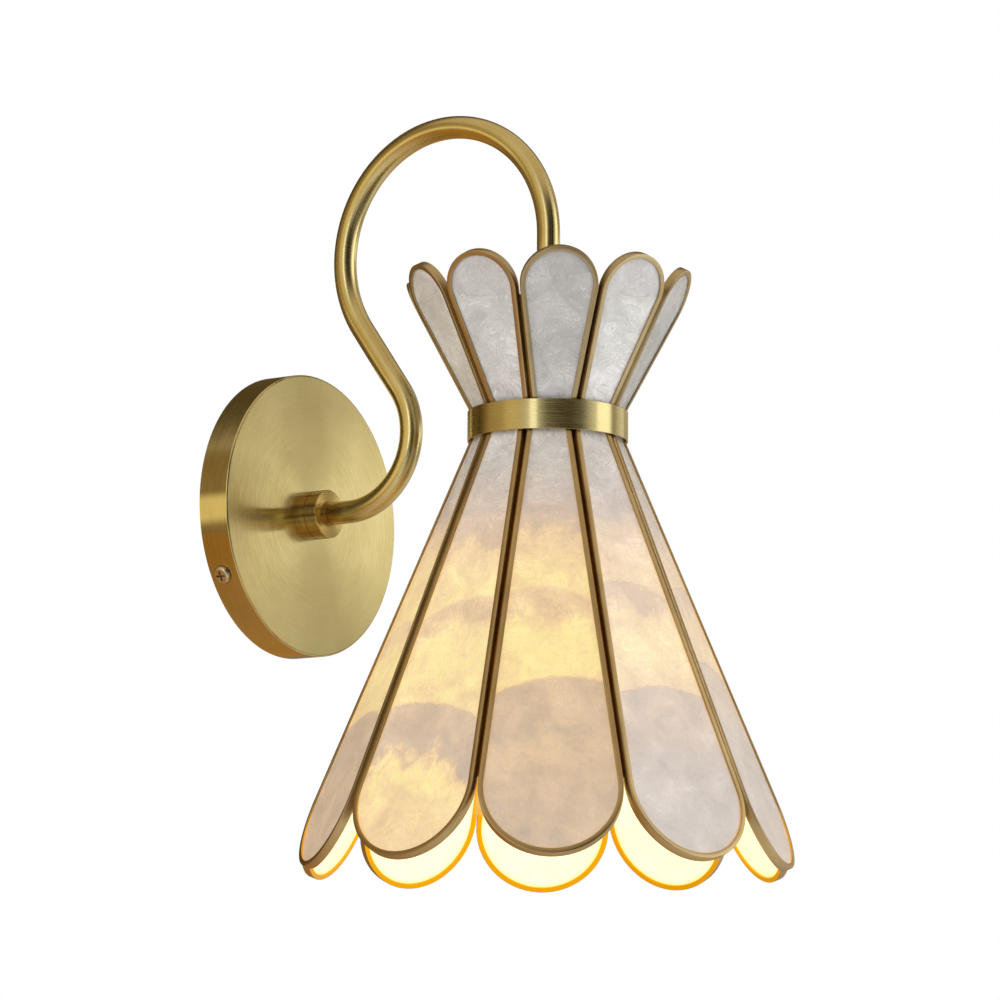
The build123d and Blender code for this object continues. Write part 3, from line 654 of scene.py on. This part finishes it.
class Petal:
    """A ring's petal, drawn flat: x across, y along the slope away from the waist, z into the shade."""

    def __init__(self, slope, length, edge_height, upward, heading):
        slope = math.radians(slope)
        inset = frame_depth * math.cos(slope) * half_pitch_tangent + frame_side_gap
        square = 1 + half_pitch_tangent ** 2
        linear = half_pitch_tangent * inset
        apothem = (linear + math.sqrt(linear ** 2 - square * (inset ** 2 - petal_corner ** 2))) / square
        at_back = apothem - frame_depth * math.cos(slope)
        self.half_root = at_back * half_pitch_tangent - frame_side_gap
        self.widening = math.sin(slope) * half_pitch_tangent
        self.side = math.atan(self.widening)
        self.quarter = math.pi / 2 + self.side
        self.root = -(abs(waist_middle - edge_height) - root_gap / 2) / math.cos(slope)
        half_end = (self.half_root + self.widening * length) * math.cos(self.side)
        self.tip_radius = half_end / (1 + math.sin(self.side))
        self.tip_centre = length - self.tip_radius
        self.heading = math.radians(heading)
        across = Vector((-upward, 0.0, 0.0))
        inward = Vector((0.0, math.cos(slope), upward * math.sin(slope)))
        axes = Matrix((across, inward.cross(across), inward)).transposed().to_4x4()
        self.flat_to_ring = Matrix.Translation((0.0, -apothem, edge_height)) @ axes

    def placed(self, number):
        """From the flat drawing to the place of one petal in its ring."""
        onto_axis = Matrix.Translation((0.0, shade_axis_y, 0.0))
        turned = Matrix.Rotation(self.heading + number * petal_pitch, 4, "Z")
        return onto_axis @ turned @ self.flat_to_ring

    def outline(self, shape, inset, depth):
        """Draw the outline at an inset and a depth, and return its edges."""
        radius = self.tip_radius - inset
        centre = (0.0, self.tip_centre, depth)
        tangent = (radius * math.cos(self.side), self.tip_centre - radius * math.sin(self.side), depth)
        start = bmesh.ops.create_vert(shape, co=tangent)["vert"][0]
        arc = bmesh.ops.spin(shape, geom=[start], cent=centre, axis=(0.0, 0.0, 1.0),
                             dvec=(0.0, 0.0, 0.0), angle=2 * self.quarter, steps=tip_steps)
        end = verts_of(arc["geom_last"])[0]
        corners = bmesh.ops.extrude_vert_indiv(shape, verts=[start, end])["verts"]
        for corner, side in zip(corners, (1, -1)):
            corner.co = self.root_corner(side, inset, depth)
        shape.edges.new(corners)
        return shape.edges[:]

    def root_corner(self, side, inset, depth):
        """The corner of the outline at the root, on one side."""
        root = self.root + inset
        half = self.half_root + self.widening * root - inset / math.cos(self.side)
        return Vector((side * half, root, depth))

    def moved(self, point, inset, depth):
        """Where a point of the outline lies when the outline is drawn at an inset and a depth."""
        from_centre = Vector((point.x, point.y - self.tip_centre))
        past_arc = self.quarter + 0.1 * self.side
        if math.atan2(abs(from_centre.x), from_centre.y) > past_arc:
            return self.root_corner(math.copysign(1, point.x), inset, depth)
        at_rim = from_centre.normalized() * (self.tip_radius - inset)
        return Vector((at_rim.x, self.tip_centre + at_rim.y, depth))

    def run(self, point):
        """How far in from the outline a flat point lies, and how far round it from the tip."""
        out, up = abs(point.x), point.y - self.tip_centre
        angle = math.atan2(out, up)
        if angle < self.quarter:
            inset, round_tip = self.tip_radius - math.hypot(out, up), self.tip_radius * angle
        else:
            cosine, sine = math.cos(self.side), math.sin(self.side)
            inset = self.tip_radius - out * cosine + up * sine
            round_tip = self.tip_radius * self.quarter - up * cosine - out * sine
        return inset, math.copysign(round_tip, point.x)


skirt = Petal(slope=21.7, length=197.3 * MM, edge_height=21.2 * MM, upward=-1, heading=-55.7)
crown = Petal(slope=26.9, length=66.0 * MM, edge_height=34.0 * MM, upward=1, heading=-51.9)
print("skirt petal: tip radius", round(skirt.tip_radius / MM, 2), "mm; crown petal:",
      round(crown.tip_radius / MM, 2), "mm")

# %% Brass channels
same_point = 0.001 * MM
channel_back = frame_lip + panel_thickness + 2 * panel_gap
frame_section = (               # (inset, depth, rounding) at each corner of the channel's section
    (0.0, 0.0, 0.35 * MM), (frame_face, 0.0, 0.20 * MM), (frame_face, frame_lip, 0.0),
    (frame_face - frame_grip, frame_lip, 0.0), (frame_face - frame_grip, channel_back, 0.0),
    (frame_face, channel_back, 0.0), (frame_face, frame_depth, 0.25 * MM), (0.0, frame_depth, 0.25 * MM),
)


def petal_frame(petal):
    """The channel round one panel, drawn flat: its section is pushed from corner to corner."""
    shape = bmesh.new()
    edges = petal.outline(shape, *frame_section[0][:2])
    for inset, depth, _ in frame_section[1:] + frame_section[:1]:
        grown = bmesh.ops.extrude_edge_only(shape, edges=edges)["geom"]
        edges = edges_of(grown)
        for vert in verts_of(grown):
            vert.co = petal.moved(vert.co, inset, depth)
    bmesh.ops.remove_doubles(shape, verts=shape.verts, dist=same_point)
    bmesh.ops.recalc_face_normals(shape, faces=shape.faces)
    for inset, depth, rounding in frame_section:
        if not rounding:
            continue
        ring = []
        for edge in shape.edges:
            misses = [abs(vert.co.z - depth) + abs(petal.run(vert.co)[0] - inset) for vert in edge.verts]
            if max(misses) < same_point:
                ring.append(edge)
        bmesh.ops.bevel(shape, geom=ring, offset=rounding, offset_type="OFFSET", segments=3, profile=0.5,
                        affect="EDGES", material=-1, clamp_overlap=True)
    bmesh.ops.recalc_face_normals(shape, faces=shape.faces)
    sharpen(shape)
    return shape


# %% Shell panels' shape
def petal_panel(petal):
    """The shell panel inside the channel, drawn flat."""
    shape = bmesh.new()
    inset = frame_face - frame_grip + panel_gap
    edges = petal.outline(shape, inset, frame_lip + panel_gap)
    bmesh.ops.edgenet_fill(shape, edges=edges)
    grown = bmesh.ops.extrude_face_region(shape, geom=shape.faces[:])
    bmesh.ops.translate(shape, verts=verts_of(grown["geom"]), vec=(0.0, 0.0, panel_thickness))
    bmesh.ops.recalc_face_normals(shape, faces=shape.faces)
    rim = shape.verts.layers.float.new("rim")
    caps = [face for face in shape.faces if abs(face.normal.z) > 0.9]
    outline = list(shape.verts)
    bmesh.ops.inset_individual(shape, faces=caps, thickness=panel_rim, depth=0.0,
                               use_even_offset=True)
    for vert in outline:
        vert[rim] = 1.0
    sharpen(shape)
    return shape


# %% What sets the panels apart
# For each panel of the skirt that faces the camera: where its three rows of shells begin along it and
# the middles of their arches across it (mm), how clear its shells are, and how much light passes below
# the lowest row.
skirt_habits = {
    0: ((25.0, 75.5, 117.5), (0.0, -3.0, 7.0), 1.00, 0.48),
    1: ((18.0, 71.0, 119.5), (2.0, -4.0, 2.0), 0.77, 0.22),
    2: ((30.0, 68.0, 104.0), (4.0, 6.0, -6.0), 0.71, 0.22),
    8: ((24.0, 86.0, 128.0), (-5.0, 4.0, 2.0), 0.93, 0.55),
    9: ((31.5, 79.5, 127.5), (-2.0, 7.0, -8.0), 0.95, 1.45),
}
# The same for the crown, which isn't lit: how light and how creamy its shell is.  How light is partly
# painted light: the panels that catch more light and reflections are made lighter.
crown_tones_and_painted_light = {0: (0.96, 0.10), 1: (1.24, 0.05), 2: (1.02, 0.0), 8: (1.16, 0.95), 9: (1.07, 0.15)}
crown_row_shift = -72.0         # the crown's panels are short, so their rows begin lower


def habit_of(ring, number):
    """The habit of a panel: chosen for the ones that face the camera, and dealt out for the others."""
    dealt = random.Random(f"{ring} {number}")
    rows = tuple(dealt.uniform(low, low + 14.0) for low in (18.0, 68.0, 112.0))
    middles = tuple(dealt.uniform(-8.0, 8.0) for _ in rows)
    spare = (rows, middles, dealt.uniform(0.85, 1.0), dealt.uniform(0.15, 0.70))
    rows, middles, clarity, lower = skirt_habits.get(number, spare) if ring == "skirt" else spare
    if ring == "crown":
        rows = [row + crown_row_shift for row in rows]
        spare = (dealt.uniform(0.95, 1.15), dealt.uniform(0.0, 0.5))
        clarity, lower = crown_tones_and_painted_light.get(number, spare)
    return [row * MM for row in rows], [middle * MM for middle in middles], clarity, lower


# %% Dress the petals
def dress_frame(ring, petal, number, label, brass):
    """Make one frame and put it in its ring."""
    shape = petal_frame(petal)
    grain = shape.verts.layers.float_vector.new("grain")
    for vert in shape.verts:
        inset, along = petal.run(vert.co)
        vert[grain] = (inset, vert.co.z, along + number * 0.7)
    bmesh.ops.transform(shape, matrix=petal.placed(number), verts=shape.verts)
    piece(f"{ring}_channel_{label}", shape, brass, "fixture", f"{ring}_frame_{label}")


def dress_panel(ring, petal, number, label, finish):
    """Make one panel, let it carry what its finish reads, and put it in its ring."""
    shape = petal_panel(petal)
    layers = shape.verts.layers.float_vector
    shell, habit, row_places, row_middles = (
        layers.new(name) for name in ("shell", "habit", "rows", "middles"))
    rim = shape.verts.layers.float["rim"]
    rows, middles, clarity, lower = habit_of(ring, number)
    offset = 0 if ring == "skirt" else petal_count
    for vert in shape.verts:
        vert[shell] = (vert.co.x, vert.co.y, number + offset)
        vert[habit] = (clarity, lower, vert[rim])
        vert[row_places] = rows
        vert[row_middles] = middles
    bmesh.ops.transform(shape, matrix=petal.placed(number), verts=shape.verts)
    piece(f"{ring}_panel_{label}", shape, finish, "fixture", f"{ring}_shell_{label}")


for ring, petal, brass, shell in (("skirt", skirt, skirt_brass, lit_shell),
                                  ("crown", crown, crown_brass, quiet_shell)):
    for number in range(petal_count):
        label = f"{number + 1:02d}"
        dress_frame(ring, petal, number, label, brass)
        dress_panel(ring, petal, number, label, shell)
print("petals:", 2 * petal_count, "frames and as many panels")

# %% [markdown]
# ## The bent tube
#
# The arm is one 10 mm brass tube, bent twice: up out of the collar and back towards the wall, then over
# in a large loop and straight down into the shade.  A bent tube can be a bevelled curve, but a mesh that
# is pushed along its own line, ring by ring, can carry the distance along it, and the brushing follows
# that.  Each new ring is extruded from the last one and turned about the bend's centre, as on a bender.

# %% Arm tube
tube_radius = 5.0 * MM
tube_wall = 1.0 * MM
tube_start = -17.9 * MM         # on the canopy's axis, inside the collar
tube_end = 34.6 * MM            # above the origin, inside the coupling
low_bend_start = -34.5 * MM
low_bend_radius = 32.9 * MM
high_bend_radius = 53.9 * MM
high_bend_height = 112.4 * MM
rise_length = 36.14 * MM
tube_sides = 40
bend_step = math.radians(3.0)

low_centre = Vector((0.0, low_bend_start, low_bend_radius))
high_centre = Vector((0.0, shade_axis_y + high_bend_radius, high_bend_height))
between = high_centre - low_centre
lean = math.atan2(between.z, between.y) - math.atan2(low_bend_radius + high_bend_radius, rise_length)
rise_direction = Vector((0.0, math.cos(lean), math.sin(lean)))


def arm_moves():
    """The tube's line as short moves: (matrix that carries a ring onwards, length of the move)."""
    runs = (
        ("straight", Vector((0.0, -1.0, 0.0)), tube_start - low_bend_start),
        ("bend", low_centre, -(math.pi - lean), low_bend_radius),
        ("straight", rise_direction, rise_length),
        ("bend", high_centre, math.radians(270.0) - lean, high_bend_radius),
        ("straight", Vector((0.0, 0.0, -1.0)), high_bend_height - tube_end),
    )
    for kind, about, amount, *radius in runs:
        if kind == "straight":
            yield Matrix.Translation(about * amount), amount
            continue
        count = round(abs(amount) / bend_step)
        there, back_again = Matrix.Translation(about), Matrix.Translation(-about)
        step = there @ Matrix.Rotation(amount / count, 4, "X") @ back_again
        for _ in range(count):
            yield step, radius[0] * abs(amount) / count


shape = bmesh.new()
upright = Matrix.Translation((0.0, tube_start, 0.0)) @ Matrix.Rotation(math.radians(90.0), 4, "X")
bmesh.ops.create_circle(shape, cap_ends=False, segments=tube_sides, radius=tube_radius, matrix=upright)
grain = shape.verts.layers.float_vector.new("grain")
for vert in shape.verts:
    vert[grain] = (vert.co.x, vert.co.z, 0.0)
ring_edges = shape.edges[:]
travelled = 0.0
for matrix, length in arm_moves():
    grown = bmesh.ops.extrude_edge_only(shape, edges=ring_edges)["geom"]
    ring_edges, ring_verts = edges_of(grown), verts_of(grown)
    travelled += length
    bmesh.ops.transform(shape, matrix=matrix, verts=ring_verts)
    for vert in ring_verts:
        vert[grain] = (vert[grain].x, vert[grain].y, travelled)
bmesh.ops.recalc_face_normals(shape, faces=shape.faces)
bmesh.ops.solidify(shape, geom=shape.faces[:], thickness=tube_wall)
piece("brushed_tube", shape, tube_brass, "fixture", "arm_tube")
print("tube:", round(travelled, 4), "m along its line")

# %% [markdown]
# ## Light, background and floor
#
# The picture has a pure white background and soft light, while the brass mirrors a darker room: brown
# behind the camera, warm at the sides, with a bright strip here and there.  The background is white to
# the camera and in reflections and quieter as a light, so nothing is overlit.
#
# A room could be built round the object, but its walls would darken everything.  Cloths that only
# reflections see do the same for the metal alone.  Their edges fade out, as an unlit corner does, so
# they draw no hard lines.  The lamps that only lift the shadows are kept out of reflections.

# %% World
world_light = 0.76              # of the background as a light; it is 1 where it is seen
world = bpy.data.worlds.new("white_background")
bpy.context.scene.world = world
sky = Finish("white_background", world)
rays = sky.node("LightPath").outputs
seen = sky.math("MAXIMUM", rays["Is Camera Ray"], rays["Is Glossy Ray"])
seen = sky.math("MAXIMUM", seen, rays["Is Transmission Ray"])
strength = sky.spread(seen, 0.0, 1.0, world_light, 1.0)
background = sky.node("Background", {"Color": (*white, 1.0), "Strength": strength})
sky.node("OutputWorld", {"Surface": background.outputs["Background"]})
print("world light:", world_light)


# %% Places round the object
def facing(place, target):
    """A matrix at a place whose -Z axis points at a target."""
    place = Vector(place)
    direction = (Vector(target) - place).normalized()
    return Matrix.Translation(place) @ direction.to_track_quat("-Z", "Y").to_matrix().to_4x4()


object_middle = Vector((0.0, -0.12, 0.0))


def place_round(heading, elevation, distance):
    """A place round the object: heading 0 is in front of the wall light, 90 to its right."""
    heading, elevation = math.radians(heading), math.radians(elevation)
    level = Vector((math.sin(heading), -math.cos(heading), 0.0)) * math.cos(elevation)
    return object_middle + (level + Vector((0.0, 0.0, math.sin(elevation)))) * distance


# %% Lamps
def lamp(name, place, width, height, watts, in_reflections):
    """A soft rectangular studio lamp that points at the object."""
    data = bpy.data.lights.new(name, "AREA")
    data.shape = "RECTANGLE"
    data.size, data.size_y = width, height
    data.energy = watts
    made = put_up(name, data)
    made.matrix_world = facing(place, object_middle)
    made.visible_glossy = in_reflections


for name, heading, elevation, distance, width, height, watts, in_reflections in (
    ("front_lamp", -35, 25, 1.5, 1.2, 0.9, 2.5, False),
    ("left_fill", -125, 10, 1.6, 0.9, 1.2, 8.6, False),
    ("right_fill", 5, 5, 1.6, 0.9, 1.2, 2.7, False),
    ("left_strip", -77, 14, 1.9, 0.34, 1.0, 1.65, True),
    ("right_box", 31, 8, 1.8, 0.85, 1.5, 4.9, True),
):
    lamp(name, place_round(heading, elevation, distance), width, height, watts, in_reflections)

# a little warm light of the bulb's own, on what stands round it
bulb_middle = (0.0, shade_axis_y, -75.0 * MM)
glow_lamp = bpy.data.lights.new("bulb_glow", "POINT")
glow_lamp.energy = 1.1
glow_lamp.color = (1.0, 0.72, 0.36)
glow_lamp.shadow_soft_size = 30 * MM
put_up("bulb_glow", glow_lamp).location = bulb_middle

# %% Cloths
cloth_fade = 0.60               # of a cloth's half width: its edges thin out over this


def cloth(name, placed, width, height, colour):
    """A flat, soft-edged cloth that only reflections see; its size is taken where it is half thick."""
    shape = bmesh.new()
    bmesh.ops.create_grid(shape, x_segments=2, y_segments=2, size=1.0)
    cover = shape.verts.layers.float_vector.new("cover")
    for vert in shape.verts:
        vert[cover] = (1.0 - abs(vert.co.x), 1.0 - abs(vert.co.y), 0.0)
    grown = 0.5 / (1.0 - 0.5 * cloth_fade)
    bmesh.ops.scale(shape, vec=(width * grown, height * grown, 1.0), verts=shape.verts)
    bmesh.ops.transform(shape, matrix=placed, verts=shape.verts)
    finish = Finish(name)
    from_side, from_end, _ = finish.parts(finish.attribute("cover"))
    thick = finish.times(finish.spread(from_side, 0.0, cloth_fade, smooth=True),
                         finish.spread(from_end, 0.0, cloth_fade, smooth=True))
    bright = finish.node("Emission", {"Color": (*colour, 1.0), "Strength": 1.0}).outputs["Emission"]
    clear = finish.node("BsdfTransparent").outputs["BSDF"]
    surface = finish.node("MixShader", {0: thick, 1: clear, 2: bright}).outputs["Shader"]
    finish.node("OutputMaterial", {"Surface": surface})
    made = object_from(shape, name, finish.material)
    made.visible_camera = False
    made.visible_diffuse = False
    made.visible_shadow = False
    made.visible_transmission = False


for name, heading, elevation, distance, width, height, colour in (
    ("cloth_behind_camera", -32, 5, 2.3, 3.15, 4.6, (0.025, 0.018, 0.008)),
    ("cloth_left", -110, 5, 2.1, 1.6, 3.0, (0.80, 0.66, 0.40)),
    ("cloth_far_left", -142, 5, 2.0, 1.5, 3.4, (0.35, 0.235, 0.105)),
    ("cloth_low_strip", -124, 2, 1.5, 1.5, 0.42, (1.25, 1.05, 0.62)),
    ("cloth_right_strip", 49, 9, 1.95, 0.6, 0.30, (0.80, 0.745, 0.64)),
    ("cloth_right_bright", 69, 10, 1.9, 0.85, 0.34, (1.60, 1.56, 1.42)),
    ("cloth_right_of_box", 60, 5, 2.15, 0.9, 3.0, (0.21, 0.18, 0.13)),
    ("cloth_right", 100, 5, 2.2, 2.2, 3.0, (0.56, 0.48, 0.33)),
    ("cloth_far_right", 150, 5, 2.1, 2.0, 3.0, (0.17, 0.10, 0.045)),
    ("cloth_behind", 188, 5, 2.2, 1.4, 3.0, (0.17, 0.11, 0.05)),
    ("cloth_above", 0, 90, 1.5, 3.2, 3.2, (0.78, 0.66, 0.50)),
    ("cloth_above_wall", 150, 50, 1.6, 3.4, 2.4, (0.11, 0.075, 0.03)),
):
    cloth(name, facing(place_round(heading, elevation, distance), object_middle), width, height, colour)
cloth("cloth_on_floor", Matrix.Translation((0.0, 1.15, -0.48)), 4.5, 2.3, (0.50, 0.25, 0.06))
turned_to_camera = Matrix.Rotation(math.radians(-32), 4, "Z")
under_camera = Matrix.Translation((-0.84, -1.46, -0.48)) @ turned_to_camera
cloth("cloth_on_front_floor", under_camera, 0.8, 1.7, (0.03, 0.022, 0.012))

# %% Floor and colours
floor_height = -0.5
shape = bmesh.new()
bmesh.ops.create_grid(shape, x_segments=1, y_segments=1, size=6.0)
bmesh.ops.translate(shape, vec=(0.0, 0.0, floor_height), verts=shape.verts)
paper = Finish("floor_paper")
paper_tones = ((0.3, 0.90, 0.90, 0.90), (0.7, 0.93, 0.93, 0.93))
paper_colour = paper.ramp(paper.noise(paper.place(), 3.0), paper_tones)
floor_paper = paper.done(Base_Color=paper_colour, Roughness=0.9, Specular_IOR_Level=0.2)
floor = object_from(shape, "studio_floor", floor_paper)

bpy.context.scene.view_settings.view_transform = "Standard"
